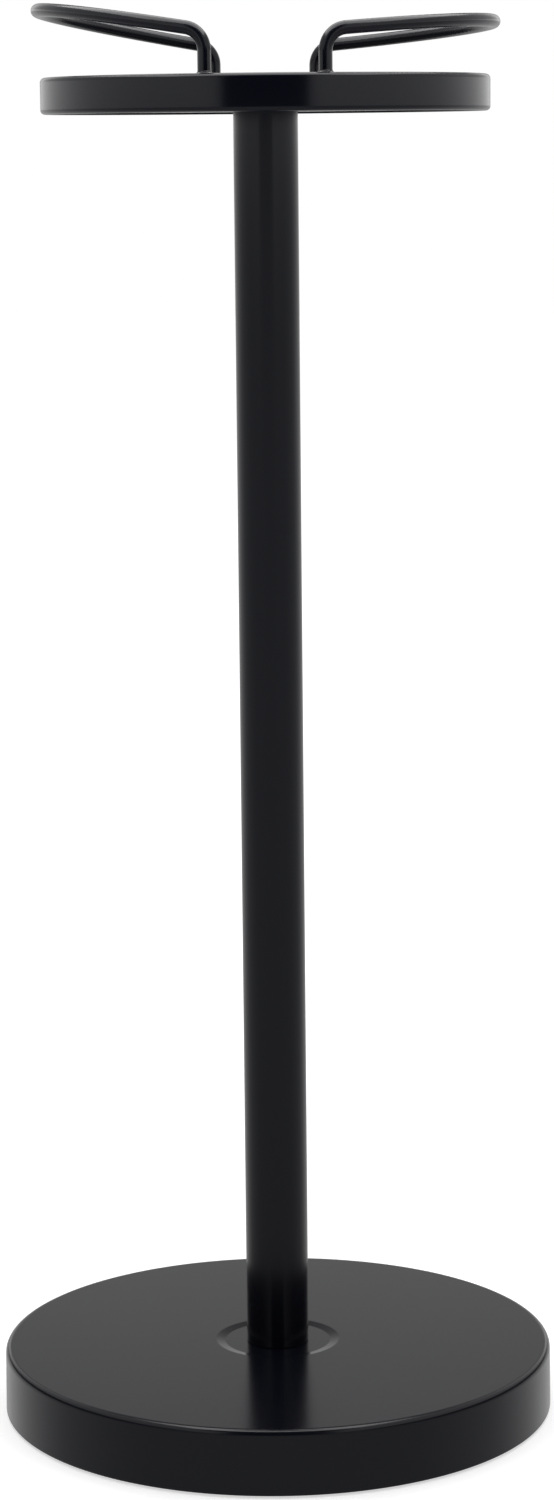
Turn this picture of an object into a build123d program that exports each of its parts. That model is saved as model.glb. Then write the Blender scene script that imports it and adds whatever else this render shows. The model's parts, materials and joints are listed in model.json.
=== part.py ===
"""Table-top mug stand: a weighted round base, one slim tube and a small round tray with two wire loops.

Frame: millimetres, +Z up, origin on the tube's axis at the surface that the stand rests on.
-Y is the front, and the two loops reach out along -X (left) and +X (right).
"""
import os
from math import atan2, cos, radians, sin, tan

from build123d import *

# Fits
contact_gap = 0.02  # left between pieces that touch or are pressed together
sheet = 1.2  # the base cover's pressed steel

# Base
base_radius = 72.25  # at the bottom edge
base_draft = 0.2  # how much narrower the top edge is
base_height = 17.5
base_edge_radius = 1.6
pad_radius = 69.5
pad_thickness = 1.6
pad_proud = 0.6  # how far the pad stands below the cover's rim
recess_radius = 15.1  # middle of the sloping step round the tube's foot
recess_slope = 2.4  # width of that step, measured outwards
recess_depth = 0.4
recess_blend_radius = 2.0  # where the step meets the flats
weight_clearance = 0.4  # between the weight and the cover's wall
bolt_well_radius = 15.0
bolt_well_roof = 10.6

# Tube
tube_radius = 8.15  # 16 mm tube and its coat
tube_wall = 1.2
insert_length = 20.0

# Tray
tray_radius = 56.5
tray_bottom = 338.2
tray_height = 9.1
tray_sheet = 1.4
tray_edge_radius = 1.2
tray_lip_radius = 1.1
tray_plate_thickness = 1.6
tray_plate_recess = 0.5
loop_plate_thickness = 2.0
loop_plate_window = 14.0  # radius of the hole that the tray bolt's head stands in
standoff_circle = 36.0
standoff_count = 3

# Wire loops
wire_radius = 1.65
bend_radius = 5.4
leg_hole_gap = 0.05
leg_spacing = 101.0  # front leg to back leg
leg_offset = 13.9  # middle of a loop's two legs, from the tube's axis
arm_height = 356.5  # the arms' axis over the legs
loop_straight = 4.6  # straight stretch of each arm before the half ring
loop_toe = 0.6  # degrees; the front legs stand a little wider apart than the back legs
loop_roll = 1.0  # degrees; the front arm stands a little higher than the back arm
# Each loop is bent by hand on a jig, so its reach from the legs to the tip and its tilt in degrees are its own.
left_loop = dict(side=-1, reach=43.5, tilt=9.6)
right_loop = dict(side=1, reach=43.6, tilt=4.7)

# Fasteners: thread radius, head or outer radius, thickness
m8_radius = 4.0
m8_head_across_flats = 13.0
m8_head_height = 5.3
m8_washer_radius = 12.0
m8_washer_thickness = 1.6
m8_spring_washer_radius = 7.2
m8_spring_washer_thickness = 2.0
m8_bolt_length = 25.0
m6_radius = 3.0
m6_head_radius = 5.2
m6_head_height = 3.3
m6_socket_across_flats = 4.0
m6_socket_depth = 2.0
m6_washer_radius = 9.0
m6_washer_thickness = 1.6
m6_bolt_length = 16.0
m4_radius = 2.0
m4_head_radius = 3.4
m4_head_angle = 90.0
m4_bolt_length = 4.8
m4_socket_across_flats = 2.5
m4_socket_depth = 1.2
standoff_across_flats = 7.0

# Levels worked out from the sizes above
cover_rim_z = pad_proud
weight_bottom_z = pad_thickness + contact_gap
recess_floor_z = base_height - recess_depth
weight_top_z = base_height - sheet - contact_gap
weight_pocket_z = weight_top_z - recess_depth
base_washer_z = bolt_well_roof - contact_gap - m8_washer_thickness
base_spring_z = base_washer_z - contact_gap - m8_spring_washer_thickness
base_head_z = base_spring_z - contact_gap

tray_top = tray_bottom + tray_height
tray_plate_z = tray_bottom + tray_plate_recess
tray_plate_top = tray_plate_z + tray_plate_thickness
tube_bottom = recess_floor_z + contact_gap
tube_top = tray_plate_z - contact_gap
loop_plate_top = tray_top - tray_sheet - contact_gap
loop_plate_z = loop_plate_top - loop_plate_thickness
tray_washer_top = tray_plate_top + contact_gap + m6_washer_thickness
tube_bore = tube_radius - tube_wall
inner_tray_radius = tray_radius - tray_sheet


def save(piece, name):
    """Label a finished piece and write it as the STEP file of that name."""
    piece.part.label = name
    export_step(piece.part, f"parts/{name}.step")


os.makedirs("parts", exist_ok=True)

# ---------------------------------------------------------------- base
with BuildPart() as base_pad:
    with BuildSketch():
        Circle(pad_radius)
    extrude(amount=pad_thickness)
    fillet(base_pad.faces().sort_by(Axis.Z)[0].edges(), 0.4)
save(base_pad, "base_pad")

# The cover is one pressed cup, turned from a profile of even thickness that dips round the tube's foot.
step_out = recess_radius + recess_slope / 2
step_in = recess_radius - recess_slope / 2
with BuildPart() as base_cover:
    with BuildSketch(Plane.XZ):
        with BuildLine():
            Polyline(
                (m8_radius + 0.4, recess_floor_z),
                (step_in, recess_floor_z),
                (step_out, base_height),
                (base_radius - base_draft, base_height),
                (base_radius, cover_rim_z),
                (base_radius - sheet, cover_rim_z),
                (base_radius - base_draft - sheet, base_height - sheet),
                (step_out, base_height - sheet),
                (step_in, recess_floor_z - sheet),
                (m8_radius + 0.4, recess_floor_z - sheet),
                close=True,
            )
        make_face()
    revolve(axis=Axis.Z)
    rims = base_cover.edges().filter_by(GeomType.CIRCLE)
    top_edge = rims.filter_by(lambda e: abs(e.radius - (base_radius - base_draft)) < 0.01)
    fillet(top_edge, base_edge_radius)
    rims = base_cover.edges().filter_by(GeomType.CIRCLE)
    inner_edge = rims.filter_by(lambda e: abs(e.radius - (base_radius - base_draft - sheet)) < 0.01)
    fillet(inner_edge, base_edge_radius - sheet)
    rims = base_cover.edges().filter_by(GeomType.CIRCLE)
    step_edges = rims.filter_by(lambda e: min(abs(e.radius - step_in), abs(e.radius - step_out)) < 0.01)
    fillet(step_edges, recess_blend_radius)
    fillet(base_cover.faces().sort_by(Axis.Z)[0].edges().sort_by(SortBy.RADIUS)[-1], 0.4)
save(base_cover, "base_cover")

weight_radius = base_radius - base_draft - sheet - weight_clearance
pocket_radius = step_out + recess_slope
with BuildPart() as base_weight:
    with BuildSketch(Plane.XY.offset(weight_bottom_z)):
        Circle(weight_radius)
    extrude(amount=weight_top_z - weight_bottom_z)
    chamfer(base_weight.faces().sort_by(Axis.Z)[-1].edges(), 1.0)
    with BuildSketch(Plane.XY.offset(weight_pocket_z)):
        Circle(pocket_radius)
    extrude(amount=weight_top_z - weight_pocket_z, mode=Mode.SUBTRACT)
    with BuildSketch(Plane.XY.offset(weight_bottom_z)):
        Circle(bolt_well_radius)
    extrude(amount=bolt_well_roof - weight_bottom_z, mode=Mode.SUBTRACT)
    with BuildSketch(Plane.XY.offset(bolt_well_roof)):
        Circle(m8_radius + 0.4)
    extrude(amount=weight_pocket_z - bolt_well_roof, mode=Mode.SUBTRACT)
save(base_weight, "base_weight")

with BuildPart() as base_washer:
    with BuildSketch(Plane.XY.offset(base_washer_z)):
        Circle(m8_washer_radius)
        Circle(m8_radius + 0.2, mode=Mode.SUBTRACT)
    extrude(amount=m8_washer_thickness)
save(base_washer, "base_washer")

with BuildPart() as base_spring_washer:
    with BuildSketch(Plane.XY.offset(base_spring_z)):
        Circle(m8_spring_washer_radius)
        Circle(m8_radius + 0.1, mode=Mode.SUBTRACT)
        with Locations(((m8_spring_washer_radius + m8_radius) / 2, 0)):
            Rectangle(m8_spring_washer_radius, 0.8, rotation=20, mode=Mode.SUBTRACT)
    extrude(amount=m8_spring_washer_thickness)
save(base_spring_washer, "base_spring_washer")

with BuildPart() as base_bolt:
    with BuildSketch(Plane.XY.offset(base_head_z)):
        RegularPolygon(m8_head_across_flats / 2, 6, major_radius=False)
    extrude(amount=-m8_head_height)
    chamfer(base_bolt.faces().sort_by(Axis.Z)[0].edges(), 0.5)
    with BuildSketch(Plane.XY.offset(base_head_z)):
        Circle(m8_radius)
    extrude(amount=m8_bolt_length)
    chamfer(base_bolt.faces().sort_by(Axis.Z)[-1].edges(), 0.6)
save(base_bolt, "base_bolt")

# ---------------------------------------------------------------- tube and its threaded inserts
with BuildPart() as post:
    with BuildSketch(Plane.XY.offset(tube_bottom)):
        Circle(tube_radius)
        Circle(tube_bore, mode=Mode.SUBTRACT)
    extrude(amount=tube_top - tube_bottom)
    fillet(post.faces().sort_by(Axis.Z)[0].edges().sort_by(SortBy.RADIUS)[-1], 0.25)
save(post, "post")


def threaded_insert(z, thread_radius):
    """Steel plug pressed into one end of the tube, with a tapped hole along its axis."""
    with BuildPart() as insert:
        with BuildSketch(Plane.XY.offset(z)):
            Circle(tube_bore - contact_gap)
            Circle(thread_radius + contact_gap, mode=Mode.SUBTRACT)
        extrude(amount=insert_length)
        chamfer(insert.edges().filter_by(GeomType.CIRCLE).sort_by(SortBy.RADIUS)[-2:], 0.5)
    return insert


post_foot_insert = threaded_insert(tube_bottom, m8_radius)
save(post_foot_insert, "post_foot_insert")
post_top_insert = threaded_insert(tube_top - insert_length, m6_radius)
save(post_top_insert, "post_top_insert")

# ---------------------------------------------------------------- tray
leg_points = []
loop_frames = []
for loop in (left_loop, right_loop):
    side = loop["side"]
    tilt = radians(loop["tilt"])
    roll = radians(loop_roll)
    outward = Vector(side * cos(tilt), 0, sin(tilt)).rotate(Axis.Z, side * loop_toe)
    backward = Vector(0, cos(roll), -sin(roll)).rotate(Axis.Z, side * loop_toe)
    middle = Vector(side * leg_offset, 0, arm_height)
    loop_frames.append((middle, outward, backward))
    leg_points += [middle + backward * (leg_spacing / 2 * end) for end in (-1, 1)]
leg_spots = [(point.X, point.Y) for point in leg_points]

with BuildPart() as tray_plate:
    with BuildSketch(Plane.XY.offset(tray_plate_z)):
        Circle(inner_tray_radius - 0.1)
        Circle(m6_radius + 0.3, mode=Mode.SUBTRACT)
    extrude(amount=tray_plate_thickness)
    with Locations(Plane.XY.offset(tray_plate_z).rotated((180, 0, 0))):  # drilled from below
        with PolarLocations(standoff_circle, standoff_count, start_angle=-90):
            CounterSinkHole(m4_radius + 0.2, m4_head_radius + 0.1, counter_sink_angle=m4_head_angle)
save(tray_plate, "tray_plate")

with BuildPart() as tray_washer:
    with BuildSketch(Plane.XY.offset(tray_plate_top + contact_gap)):
        Circle(m6_washer_radius)
        Circle(m6_radius + 0.2, mode=Mode.SUBTRACT)
    extrude(amount=m6_washer_thickness)
save(tray_washer, "tray_washer")

with BuildPart() as tray_bolt:
    with BuildSketch(Plane.XY.offset(tray_washer_top + contact_gap)):
        Circle(m6_head_radius)
    extrude(amount=m6_head_height)
    fillet(tray_bolt.faces().sort_by(Axis.Z)[-1].edges(), 1.8)
    with BuildSketch(Plane.XY.offset(tray_washer_top + contact_gap)):
        Circle(m6_radius)
    extrude(amount=-m6_bolt_length)
    with BuildSketch(Plane.XY.offset(tray_washer_top + contact_gap + m6_head_height)):
        RegularPolygon(m6_socket_across_flats / 2, 6, major_radius=False)
    extrude(amount=-m6_socket_depth, mode=Mode.SUBTRACT)
save(tray_bolt, "tray_bolt")

standoff_z = tray_plate_top + contact_gap
standoff_top = loop_plate_z - contact_gap
with BuildPart() as tray_standoffs:
    with BuildSketch(Plane.XY.offset(standoff_z)):
        with PolarLocations(standoff_circle, standoff_count, start_angle=90):
            RegularPolygon(standoff_across_flats / 2, 6, major_radius=False)
            Circle(m4_radius + contact_gap, mode=Mode.SUBTRACT)
    extrude(amount=standoff_top - standoff_z)
save(tray_standoffs, "tray_standoffs")

with BuildPart() as tray_screws:
    with BuildSketch(Plane.XZ):
        with BuildLine():
            Polyline(
                (0, tray_plate_z + 0.05),
                (m4_head_radius, tray_plate_z + 0.05),
                (m4_radius, tray_plate_z + 0.05 + (m4_head_radius - m4_radius) / tan(radians(m4_head_angle / 2))),
                (m4_radius, tray_plate_z + m4_bolt_length),
                (0, tray_plate_z + m4_bolt_length),
                close=True,
            )
        make_face()
    revolve(axis=Axis.Z)
    with BuildSketch(Plane.XY.offset(tray_plate_z)):
        RegularPolygon(m4_socket_across_flats / 2, 6, major_radius=False)
    extrude(amount=m4_socket_depth, mode=Mode.SUBTRACT)
one_screw = tray_screws.part
with BuildPart() as tray_screws:
    with PolarLocations(standoff_circle, standoff_count, start_angle=90):
        add(one_screw)
save(tray_screws, "tray_screws")

with BuildPart() as loop_plate:
    with BuildSketch(Plane.XY.offset(loop_plate_z)):
        Circle(inner_tray_radius - 0.15)
        Circle(loop_plate_window, mode=Mode.SUBTRACT)
        with Locations(*leg_spots):
            Circle(wire_radius + leg_hole_gap, mode=Mode.SUBTRACT)
    extrude(amount=loop_plate_thickness)
save(loop_plate, "loop_plate")

with BuildPart() as tray_cover:
    with BuildSketch(Plane.XY.offset(tray_bottom)):
        Circle(tray_radius)
    extrude(amount=tray_height)
    fillet(tray_cover.faces().sort_by(Axis.Z)[-1].edges(), tray_edge_radius)
    with BuildSketch(Plane.XY.offset(tray_bottom)):
        Circle(inner_tray_radius)
    extrude(amount=tray_height - tray_sheet, mode=Mode.SUBTRACT)
    fillet(tray_cover.faces().sort_by(Axis.Z)[0].edges().sort_by(SortBy.RADIUS)[-1], tray_lip_radius)
    with BuildSketch(Plane.XY.offset(tray_top - tray_sheet)):
        with Locations(*leg_spots):
            Circle(wire_radius + leg_hole_gap)
    extrude(amount=tray_sheet, mode=Mode.SUBTRACT)
save(tray_cover, "tray_cover")


# ---------------------------------------------------------------- wire loops
def wire_loop(loop, loop_frame):
    """One bent wire: front leg up, out along the front arm, round the half ring and back to the rear leg.

    The half ring is tangent to the two straight stretches, and its tip is the loop's full reach out.
    """
    middle, outward, backward = loop_frame
    half = leg_spacing / 2
    reach = loop["reach"]
    ring_radius = (reach**2 + half**2 - loop_straight**2) / (2 * reach)
    ring_centre = reach - ring_radius
    opening = atan2(half, -ring_centre) - atan2(loop_straight, ring_radius)

    def spot(x, y):
        return middle + outward * x + backward * y

    up = Vector(0, 0, 1)
    ends = []
    for end in (-1, 1):
        corner = spot(0, end * half)
        ring_start = spot(ring_centre + ring_radius * cos(opening), end * ring_radius * sin(opening))
        along = (ring_start - corner).normalized()
        setback = bend_radius * tan(radians(up.get_angle(along)) / 2)
        foot = Vector(corner.X, corner.Y, loop_plate_z)
        ends.append((foot, corner - up * setback, corner + along * setback, ring_start))
    front, back = ends
    tip = spot(reach, 0)

    with BuildPart() as wire:
        with BuildLine() as path:
            Line(front[0], front[1])
            TangentArc(front[1], front[2], tangent=up)
            Line(front[2], front[3])
            ThreePointArc(front[3], tip, back[3])
            Line(back[3], back[2])
            TangentArc(back[1], back[2], tangent=up)
            Line(back[1], back[0])
        with BuildSketch(Plane(origin=front[0], z_dir=up)):
            Circle(wire_radius)
        sweep(path=path.wires()[0])
    return wire


save(wire_loop(left_loop, loop_frames[0]), "loop_left")
save(wire_loop(right_loop, loop_frames[1]), "loop_right")
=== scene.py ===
"""Black powder-coated mug stand: weighted base, slim tube, small tray and two wire loops, in a pale studio.

The frame is the CAD model's: the tube stands on the origin, +Z is up and -Y is the front. Named lengths are
in millimetres, and MM turns them into Blender's metres.
"""
import json
from math import atan2, cos, hypot, pi, radians, sin, tan

import bmesh
import bpy
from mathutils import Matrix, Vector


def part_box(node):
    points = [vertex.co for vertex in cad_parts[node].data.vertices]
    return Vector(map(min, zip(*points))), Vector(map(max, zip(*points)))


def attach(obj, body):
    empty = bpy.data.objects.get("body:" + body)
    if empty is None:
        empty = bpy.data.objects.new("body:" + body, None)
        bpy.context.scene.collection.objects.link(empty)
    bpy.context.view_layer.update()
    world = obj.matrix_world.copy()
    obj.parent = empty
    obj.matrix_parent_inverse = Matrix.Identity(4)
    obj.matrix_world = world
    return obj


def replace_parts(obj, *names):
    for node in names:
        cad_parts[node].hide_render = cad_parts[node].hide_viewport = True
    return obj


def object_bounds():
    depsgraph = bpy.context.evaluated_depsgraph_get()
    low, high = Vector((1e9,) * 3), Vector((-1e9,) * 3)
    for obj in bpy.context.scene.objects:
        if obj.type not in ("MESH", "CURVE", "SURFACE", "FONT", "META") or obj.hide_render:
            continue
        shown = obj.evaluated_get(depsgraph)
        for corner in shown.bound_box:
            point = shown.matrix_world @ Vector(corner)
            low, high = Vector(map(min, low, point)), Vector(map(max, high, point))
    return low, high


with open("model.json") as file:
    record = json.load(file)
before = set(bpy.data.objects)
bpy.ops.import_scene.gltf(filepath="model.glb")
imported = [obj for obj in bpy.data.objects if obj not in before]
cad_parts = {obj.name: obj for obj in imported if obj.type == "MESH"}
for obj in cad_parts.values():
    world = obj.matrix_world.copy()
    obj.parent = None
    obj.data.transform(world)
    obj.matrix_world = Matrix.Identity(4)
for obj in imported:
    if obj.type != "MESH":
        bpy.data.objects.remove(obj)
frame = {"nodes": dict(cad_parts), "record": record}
cad_low, cad_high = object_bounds()

MM = 0.001

# Sizes of the pressed, cut and bent parts, as in the CAD model
SHEET = 1.2
TRAY_SHEET = 1.4
BASE_DRAFT = 0.2
BASE_EDGE_RADIUS = 1.6
BOLT_HOLE_RADIUS = 4.4
RECESS_RADIUS = 15.1
RECESS_SLOPE = 2.4
RECESS_DEPTH = 0.4
RECESS_BLEND_RADIUS = 2.0
TRAY_EDGE_RADIUS = 1.2
TRAY_LIP_RADIUS = 1.1
TUBE_WALL = 1.2
WIRE_RADIUS = 1.65

# Details that only the looks have
CUT_EDGE = 0.1  # radius of a cut edge with the coat over it
COAT_FILLET = 0.6  # how far the coat climbs where a wire stands on the tray
FILLET_OVERLAP = 0.3  # how far that coat reaches into the tray and the wire

TURNS = 288  # facets round a broad turned piece
TUBE_TURNS = 192
FILLET_TURNS = 48
ARC_STEPS = 8  # facets along a rounded corner
SUPPORT = 0.15  # where the extra point beside a rounded corner stands


# ---------------------------------------------------------------- node trees
def linear(hex_colour):
    """An sRGB hex colour as the linear RGBA that Blender's sockets take."""
    channels = [int(hex_colour[i:i + 2], 16) / 255 for i in (1, 3, 5)]
    return [c / 12.92 if c <= 0.04045 else ((c + 0.055) / 1.055) ** 2.4 for c in channels] + [1.0]


def add_node(tree, kind, inputs=None, **settings):
    """Adds a node with its settings. An input is a number, a colour or another node's output socket."""
    node = tree.nodes.new(kind)
    for name, value in settings.items():
        setattr(node, name, value)
    for name, value in (inputs or {}).items():
        if isinstance(value, bpy.types.NodeSocket):
            tree.links.new(value, node.inputs[name])
        else:
            node.inputs[name].default_value = value
    return node


def set_stops(ramp_node, stops):
    """Puts (position, colour) stops on a colour ramp."""
    elements = ramp_node.color_ramp.elements
    while len(elements) < len(stops):
        elements.new(0.5)
    for element, (position, colour) in zip(elements, stops):
        element.position = position
        element.color = colour


def grey(value):
    return (value, value, value, 1.0)


def new_tree(name):
    """A new material and its node tree, still empty."""
    material = bpy.data.materials.new(name)
    material.use_nodes = True
    material.node_tree.nodes.clear()
    return material, material.node_tree


# ---------------------------------------------------------------- finishes
def powder_coat():
    """Satin black polyester powder coat on steel: nearly black, with soft-edged reflections.

    The coat flows out into a shallow orange peel about 2 mm across, with a finer grain on top. Its sheen
    drifts a little from one patch of 30 mm to the next.
    """
    material, tree = new_tree("satin_black_powder_coat")
    place = add_node(tree, "ShaderNodeTexCoord").outputs["Object"]
    peel = add_node(tree, "ShaderNodeTexNoise",
                    {"Vector": place, "Scale": 1 / (2.2 * MM), "Detail": 1.0, "Roughness": 0.4})
    grain = add_node(tree, "ShaderNodeTexNoise",
                     {"Vector": place, "Scale": 1 / (0.35 * MM), "Detail": 2.0, "Roughness": 0.6})
    peel_bump = add_node(tree, "ShaderNodeBump",
                         {"Height": peel.outputs["Fac"], "Strength": 0.5, "Distance": 0.012 * MM})
    grain_bump = add_node(tree, "ShaderNodeBump",
                          {"Height": grain.outputs["Fac"], "Strength": 0.5, "Distance": 0.004 * MM,
                           "Normal": peel_bump.outputs["Normal"]})
    flow = add_node(tree, "ShaderNodeTexNoise",
                    {"Vector": place, "Scale": 1 / (30 * MM), "Detail": 3.0, "Roughness": 0.5})
    roughness = add_node(tree, "ShaderNodeMapRange",
                         {"Value": flow.outputs["Fac"], "From Min": 0.3, "From Max": 0.7,
                          "To Min": 0.18, "To Max": 0.21})
    shader = add_node(tree, "ShaderNodeBsdfPrincipled",
                      {"Base Color": linear("#080A13"), "Roughness": roughness.outputs["Result"], "IOR": 1.5,
                       "Normal": grain_bump.outputs["Normal"]})
    add_node(tree, "ShaderNodeOutputMaterial", {"Surface": shader.outputs["BSDF"]})
    return material


def foam_rubber():
    """Black closed-cell foam rubber, cut from sheet: dull, and pitted by the cut cells, 0.9 mm apart, with
    painted shade darkening the pits.
    """
    material, tree = new_tree("foam_rubber")
    place = add_node(tree, "ShaderNodeTexCoord").outputs["Object"]
    cells = add_node(tree, "ShaderNodeTexVoronoi", {"Vector": place, "Scale": 1 / (0.9 * MM)})
    pits = add_node(tree, "ShaderNodeValToRGB", {"Fac": cells.outputs["Distance"]})
    set_stops(pits, [(0.0, grey(0.0)), (0.35, grey(0.9)), (1.0, grey(1.0))])
    bump = add_node(tree, "ShaderNodeBump",
                    {"Height": pits.outputs["Color"], "Strength": 0.8, "Distance": 0.15 * MM})
    # Painted shade: the pits are coloured darker than the face around them, following the same mask as the
    # bump.
    tint = add_node(tree, "ShaderNodeMix",
                    {"Factor": pits.outputs["Color"], "A": linear("#0E0E10"), "B": linear("#222224")},
                    data_type="RGBA")
    shader = add_node(tree, "ShaderNodeBsdfPrincipled",
                      {"Base Color": tint.outputs["Result"], "Roughness": 0.85, "IOR": 1.5,
                       "Normal": bump.outputs["Normal"]})
    add_node(tree, "ShaderNodeOutputMaterial", {"Surface": shader.outputs["BSDF"]})
    return material


def bare_metal(name, colours, roughness, grain, depth):
    """A metal whose colour and sheen vary a little over its grain, given in millimetres."""
    material, tree = new_tree(name)
    place = add_node(tree, "ShaderNodeTexCoord").outputs["Object"]
    noise = add_node(tree, "ShaderNodeTexNoise",
                     {"Vector": place, "Scale": 1 / (grain * MM), "Detail": 4.0, "Roughness": 0.6})
    tint = add_node(tree, "ShaderNodeValToRGB", {"Fac": noise.outputs["Fac"]})
    set_stops(tint, [(0.35, linear(colours[0])), (0.65, linear(colours[1]))])
    bump = add_node(tree, "ShaderNodeBump",
                    {"Height": noise.outputs["Fac"], "Strength": 0.6, "Distance": depth * MM})
    shader = add_node(tree, "ShaderNodeBsdfPrincipled",
                      {"Base Color": tint.outputs["Color"], "Roughness": roughness, "Metallic": 1.0,
                       "Normal": bump.outputs["Normal"]})
    add_node(tree, "ShaderNodeOutputMaterial", {"Surface": shader.outputs["BSDF"]})
    return material


FINISHES = {
    "powder_coat": powder_coat(),
    "pad": foam_rubber(),
    # Grey iron as cast in sand: dark, rough and lumpy.
    "cast_iron": bare_metal("sand_cast_iron", ("#2C2A28", "#4A4744"), 0.62, 1.6, 0.15),
    # Bright zinc plate on steel fasteners: pale and bluish with a satin sheen.
    "zinc_plate": bare_metal("bright_zinc_plate", ("#B9BEC4", "#D2D5D8"), 0.28, 4.0, 0.01),
    # Black oxide on steel screws: oiled, almost black, with the metal's shine left in it.
    "black_oxide": bare_metal("black_oxide_steel", ("#17181A", "#26272A"), 0.35, 2.0, 0.01),
    # Cold-rolled sheet with its mill finish: mid grey, faintly streaked.
    "bare_steel": bare_metal("cold_rolled_steel", ("#85868A", "#A0A1A5"), 0.36, 6.0, 0.01),
}

# Every CAD node gets the finish of its slot in the record
slot_of = {entry["node"]: entry["material_slot"] for entry in frame["record"]["subparts"]}
for name, node in frame["nodes"].items():
    node.data.materials.clear()
    node.data.materials.append(FINISHES[slot_of[name]])


# ---------------------------------------------------------------- turned pieces
def unit(x, y):
    length = hypot(x, y)
    return x / length, y / length


def rounded_section(corners):
    """The outline of a turned section, in metres, from (radius, height, corner radius) in millimetres.

    Each rounded corner becomes an arc, with a support point just outside it so that the flats shade flat.
    """
    outline = []
    count = len(corners)
    for i, (r, z, radius) in enumerate(corners):
        if radius == 0:
            outline.append((r, z))
            continue
        before, after = corners[i - 1], corners[(i + 1) % count]
        into = unit(before[0] - r, before[1] - z)
        out = unit(after[0] - r, after[1] - z)
        half = atan2(abs(into[0] * out[1] - into[1] * out[0]), into[0] * out[0] + into[1] * out[1]) / 2
        setback = radius / tan(half)
        middle = unit(into[0] + out[0], into[1] + out[1])
        centre = (r + middle[0] * radius / sin(half), z + middle[1] * radius / sin(half))
        start = (r + into[0] * setback, z + into[1] * setback)
        end = (r + out[0] * setback, z + out[1] * setback)
        support = min(SUPPORT, setback / 2)
        first = atan2(start[1] - centre[1], start[0] - centre[0])
        sweep = (atan2(end[1] - centre[1], end[0] - centre[0]) - first + pi) % (2 * pi) - pi
        outline.append((start[0] + into[0] * support, start[1] + into[1] * support))
        for step in range(ARC_STEPS + 1):
            angle = first + sweep * step / ARC_STEPS
            outline.append((centre[0] + radius * cos(angle), centre[1] + radius * sin(angle)))
        outline.append((end[0] + out[0] * support, end[1] + out[1] * support))
    return [(r * MM, z * MM) for r, z in outline]


def link_mesh(name, mesh):
    """Puts a finished mesh into the scene as an object of the same name."""
    data = bpy.data.meshes.new(name)
    mesh.to_mesh(data)
    mesh.free()
    piece = bpy.data.objects.new(name, data)
    bpy.context.scene.collection.objects.link(piece)
    return piece


def turned_piece(name, outline, slot, turns=TURNS, axis=(0.0, 0.0)):
    """A closed section turned about an upright axis, as quads. Points on the axis become one pole each."""
    mesh = bmesh.new()
    rings = []
    for r, z in outline:
        if r == 0:
            rings.append([mesh.verts.new((*axis, z))] * turns)
        else:
            spots = [(axis[0] + r * cos(2 * pi * i / turns), axis[1] + r * sin(2 * pi * i / turns), z)
                     for i in range(turns)]
            rings.append([mesh.verts.new(spot) for spot in spots])
    for ring, following in zip(rings, rings[1:] + rings[:1]):
        for i in range(turns):
            j = (i + 1) % turns
            corners = [ring[i], following[i], following[j], ring[j]]
            face = [v for k, v in enumerate(corners) if v is not corners[k - 1]]
            if len(set(face)) > 2:
                mesh.faces.new(face)
    bmesh.ops.recalc_face_normals(mesh, faces=mesh.faces)
    piece = link_mesh(name, mesh)
    piece.data.shade_smooth()
    piece.data.materials.append(FINISHES[slot])
    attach(piece, "root")
    return piece


def span(node):
    """Outer radius, lowest and highest level of a turned CAD node, in millimetres."""
    low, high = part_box(node)
    return high.x / MM, low.z / MM, high.z / MM


def base_cover():
    """Pressed steel cup with a shallow round dip about the tube's foot."""
    radius, rim, top = span("base_cover")
    step_in = RECESS_RADIUS - RECESS_SLOPE / 2
    step_out = RECESS_RADIUS + RECESS_SLOPE / 2
    shoulder = radius - BASE_DRAFT
    section = rounded_section([
        (BOLT_HOLE_RADIUS, top - RECESS_DEPTH, CUT_EDGE),
        (step_in, top - RECESS_DEPTH, RECESS_BLEND_RADIUS),
        (step_out, top, RECESS_BLEND_RADIUS),
        (shoulder, top, BASE_EDGE_RADIUS),
        (radius, rim, 0.4),
        (radius - SHEET, rim, 0.3),
        (shoulder - SHEET, top - SHEET, BASE_EDGE_RADIUS - SHEET),
        (step_out, top - SHEET, RECESS_BLEND_RADIUS),
        (step_in, top - RECESS_DEPTH - SHEET, RECESS_BLEND_RADIUS),
        (BOLT_HOLE_RADIUS, top - RECESS_DEPTH - SHEET, CUT_EDGE),
    ])
    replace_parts(turned_piece("base_cover_shell", section, "powder_coat"), "base_cover")


def base_pad():
    """Foam rubber disc under the base, with a slightly softened lower edge."""
    radius, bottom, top = span("base_pad")
    section = rounded_section([(0, top, 0), (radius, top, 0.2), (radius, bottom, 0.4), (0, bottom, 0)])
    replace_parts(turned_piece("base_pad_disc", section, "pad"), "base_pad")


def post():
    """The tube, with its cut edges just broken."""
    radius, bottom, top = span("post")
    section = rounded_section([
        (radius - TUBE_WALL, bottom, CUT_EDGE),
        (radius, bottom, 0.25),
        (radius, top, CUT_EDGE),
        (radius - TUBE_WALL, top, CUT_EDGE),
    ])
    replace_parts(turned_piece("post_tube", section, "powder_coat", TUBE_TURNS), "post")


def tray_cover():
    """Pressed cap with a rounded upper edge and a plain rim."""
    radius, bottom, top = span("tray_cover")
    section = rounded_section([
        (0, top, 0),
        (radius, top, TRAY_EDGE_RADIUS),
        (radius, bottom, TRAY_LIP_RADIUS),
        (radius - TRAY_SHEET, bottom, 0.2),
        (radius - TRAY_SHEET, top - TRAY_SHEET, 0.2),
        (0, top - TRAY_SHEET, 0),
    ])
    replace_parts(turned_piece("tray_cover_shell", section, "powder_coat"), "tray_cover")


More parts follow.
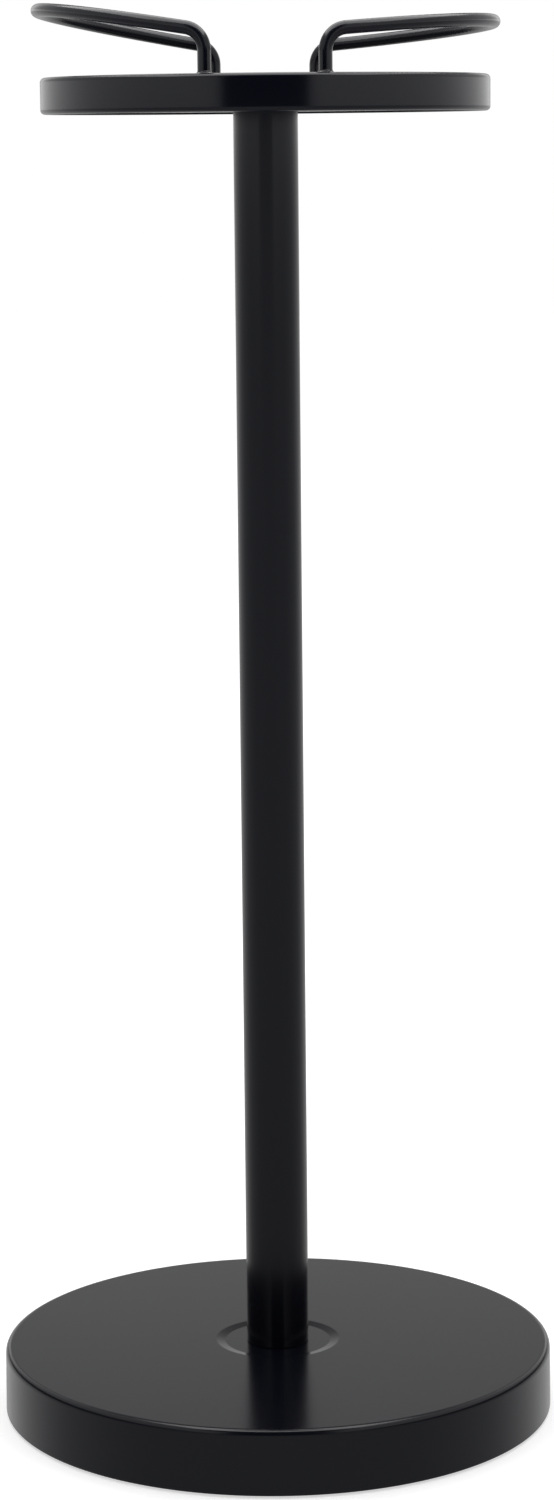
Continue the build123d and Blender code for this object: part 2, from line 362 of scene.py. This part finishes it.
def coat_fillets(side):
    """The small ring of coat that runs out round the foot of each of a loop's two legs."""
    wire = frame["nodes"]["loop_" + side].data
    lowest = min(v.co.z for v in wire.vertices)
    ends = [v.co for v in wire.vertices if v.co.z < lowest + 0.01 * MM]
    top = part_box("tray_cover")[1].z
    reach = WIRE_RADIUS + COAT_FILLET
    curve = [pi + pi / 2 * step / ARC_STEPS for step in range(ARC_STEPS + 1)]
    outline = [((reach + COAT_FILLET * cos(angle)) * MM, top + COAT_FILLET * (1 + sin(angle)) * MM)
               for angle in curve]
    sunk = top - FILLET_OVERLAP * MM
    inside = (WIRE_RADIUS - FILLET_OVERLAP) * MM
    outline += [(reach * MM, sunk), (inside, sunk), (inside, outline[0][1])]
    for name, foot in (("front", [v for v in ends if v.y < 0]), ("back", [v for v in ends if v.y > 0])):
        middle = (sum(v.x for v in foot) / len(foot), sum(v.y for v in foot) / len(foot))
        turned_piece(f"coat_fillet_{side}_{name}", outline, "powder_coat", FILLET_TURNS, middle)


base_cover()
base_pad()
post()
tray_cover()
coat_fillets("left")
coat_fillets("right")


# ---------------------------------------------------------------- studio
# Brightness of the room by direction, in degrees from the front: dark walls but for a pale one behind the
# stand, and a floor that gets brighter towards it
WALL_LEVELS = ((0, 0.06), (148, 0.11), (162, 0.67), (180, 0.67))
FLOOR_LEVELS = ((0, 0.27), (60, 0.28), (82, 0.33), (100, 0.38), (122, 0.56), (144, 0.68), (180, 0.62))
# Heights in the room, as the upward part of a unit direction. The floor gives way to the walls along the
# skirting, and higher up the walls fade to a share of their brightness.
SKIRTING_LOW, SKIRTING_HIGH = 0.05, 0.10
FADE_START, FADE_END = 0.22, 0.38
FADE_TO = 0.36

# Softboxes: middle, width along X or Z, length along Y, the turn about Y in degrees that aims it, brightness
SOFTBOXES = {
    "overhead": ((0, 30, 583), 490, 430, 0, 2.8),
    "left": ((-650, 500, 918), 1165, 4000, -90, 0.5),
    "right": ((650, 500, 918), 1165, 4000, 90, 0.56),
}
# A small black card close in front of the tray gives its rim and the wire legs their dark middle line
CARD_MIDDLE = (0, -75, 347.5)
CARD_WIDTH = 36
CARD_HEIGHT = 20

FLOOR_RADIUS = 6000
# The floor glows, but less close to the stand, so that its shadow shows
GLOW_START, GLOW_END = 150, 550
FLOOR_GLOW_NEAR = 0.6
FLOOR_GLOW_FAR = 1.0


def studio_room():
    """What the stand reflects beyond the softboxes. Seen straight from the camera it is plain white."""
    world = bpy.data.worlds.new("studio")
    bpy.context.scene.world = world
    world.use_nodes = True
    tree = world.node_tree
    tree.nodes.clear()
    way = add_node(tree, "ShaderNodeSeparateXYZ",
                   {"Vector": add_node(tree, "ShaderNodeTexCoord").outputs["Generated"]})
    aside = add_node(tree, "ShaderNodeMath", {0: way.outputs["X"]}, operation="ABSOLUTE")
    ahead = add_node(tree, "ShaderNodeMath", {0: way.outputs["Y"], 1: -1.0}, operation="MULTIPLY")
    turn = add_node(tree, "ShaderNodeMath", {0: aside.outputs[0], 1: ahead.outputs[0]}, operation="ARCTAN2")
    share = add_node(tree, "ShaderNodeMath", {0: turn.outputs[0], 1: pi}, operation="DIVIDE")
    walls, floor = [add_node(tree, "ShaderNodeValToRGB", {"Fac": share.outputs[0]}) for _ in range(2)]
    set_stops(walls, [(degrees / 180, grey(level)) for degrees, level in WALL_LEVELS])
    set_stops(floor, [(degrees / 180, grey(level)) for degrees, level in FLOOR_LEVELS])
    fade = add_node(tree, "ShaderNodeMapRange",
                    {"Value": way.outputs["Z"], "From Min": FADE_START, "From Max": FADE_END,
                     "To Min": 1.0, "To Max": FADE_TO})
    upper = add_node(tree, "ShaderNodeMix",
                     {"Factor": fade.outputs["Result"], "A": grey(0.0), "B": walls.outputs["Color"]},
                     data_type="RGBA")
    rise = add_node(tree, "ShaderNodeMapRange",
                    {"Value": way.outputs["Z"], "From Min": SKIRTING_LOW, "From Max": SKIRTING_HIGH})
    room = add_node(tree, "ShaderNodeMix",
                    {"Factor": rise.outputs["Result"], "A": floor.outputs["Color"],
                     "B": upper.outputs["Result"]},
                    data_type="RGBA")
    ray = add_node(tree, "ShaderNodeLightPath")
    shown = add_node(tree, "ShaderNodeMix",
                     {"Factor": ray.outputs["Is Camera Ray"], "A": room.outputs["Result"], "B": grey(1.0)},
                     data_type="RGBA")
    background = add_node(tree, "ShaderNodeBackground", {"Color": shown.outputs["Result"]})
    add_node(tree, "ShaderNodeOutputWorld", {"Surface": background.outputs["Background"]})


def softboxes():
    """Rectangular area lights; their power is what gives each the stated brightness over its area."""
    for name, (middle, width, length, aim, level) in SOFTBOXES.items():
        light = bpy.data.lights.new(name + "_softbox", "AREA")
        light.shape = "RECTANGLE"
        light.size = width * MM
        light.size_y = length * MM
        light.energy = level * pi * light.size * light.size_y
        softbox = bpy.data.objects.new(name + "_softbox", light)
        softbox.location = [c * MM for c in middle]
        softbox.rotation_euler.y = radians(aim)
        softbox.visible_camera = False
        bpy.context.scene.collection.objects.link(softbox)


def studio_piece(name, mesh, finish):
    """A flat piece of the studio, and the empty node tree of its finish."""
    piece = link_mesh(name, mesh)
    material, tree = new_tree(finish)
    piece.data.materials.append(material)
    return piece, tree


def pale_floor():
    """A large white floor, clear from below, which the stand's gloss doesn't pick up."""
    mesh = bmesh.new()
    bmesh.ops.create_circle(mesh, cap_ends=True, segments=96, radius=FLOOR_RADIUS * MM)
    floor, tree = studio_piece("floor", mesh, "pale_floor")
    floor.location.z = cad_low.z
    matt = add_node(tree, "ShaderNodeBsdfDiffuse", {"Color": grey(0.85)})
    place = add_node(tree, "ShaderNodeTexCoord").outputs["Object"]
    distance = add_node(tree, "ShaderNodeVectorMath", {0: place}, operation="LENGTH")
    strength = add_node(tree, "ShaderNodeMapRange",
                        {"Value": distance.outputs["Value"],
                         "From Min": GLOW_START * MM, "From Max": GLOW_END * MM,
                         "To Min": FLOOR_GLOW_NEAR, "To Max": FLOOR_GLOW_FAR})
    glow = add_node(tree, "ShaderNodeEmission", {"Strength": strength.outputs["Result"]})
    lit = add_node(tree, "ShaderNodeAddShader", {0: matt.outputs[0], 1: glow.outputs[0]})
    clear = add_node(tree, "ShaderNodeBsdfTransparent")
    side = add_node(tree, "ShaderNodeNewGeometry")
    surface = add_node(tree, "ShaderNodeMixShader",
                       {0: side.outputs["Backfacing"], 1: lit.outputs[0], 2: clear.outputs[0]})
    add_node(tree, "ShaderNodeOutputMaterial", {"Surface": surface.outputs[0]})
    floor.visible_glossy = False


def black_card():
    """A matt black card that only reflections see."""
    mesh = bmesh.new()
    bmesh.ops.create_grid(mesh, x_segments=1, y_segments=1, size=0.5)
    card, tree = studio_piece("black_card", mesh, "black_card")
    card.location = [c * MM for c in CARD_MIDDLE]
    card.rotation_euler.x = radians(90)
    card.scale = (CARD_WIDTH * MM, CARD_HEIGHT * MM, 1.0)
    matt = add_node(tree, "ShaderNodeBsdfDiffuse", {"Color": grey(0.01)})
    add_node(tree, "ShaderNodeOutputMaterial", {"Surface": matt.outputs[0]})
    card.visible_camera = False
    card.visible_diffuse = False
    card.visible_shadow = False


studio_room()
softboxes()
black_card()
pale_floor()
bpy.context.scene.view_settings.view_transform = "Standard"


# ---------------------------------------------------------------- camera
EYE_DISTANCE = 944.6
EYE_HEIGHT = 332.6
EYE_PITCH = 9.43  # degrees below the horizon
EYE_ROLL = 0.56
EYE_YAW = -0.173
SENSOR_WIDTH = 36.0
LENS_LENGTH = 88.84


def camera():
    """The eye stands before the stand, about as high as the tray, and looks down a little."""
    data = bpy.data.cameras.new("camera")
    data.sensor_width = SENSOR_WIDTH
    data.lens = LENS_LENGTH
    data.clip_start = 0.05
    viewer = bpy.data.objects.new("camera", data)
    bpy.context.scene.collection.objects.link(viewer)
    viewer.location = (0.0, -EYE_DISTANCE * MM, EYE_HEIGHT * MM)
    viewer.rotation_euler = (radians(90 - EYE_PITCH), radians(EYE_ROLL), radians(EYE_YAW))
    bpy.context.scene.camera = viewer


camera()
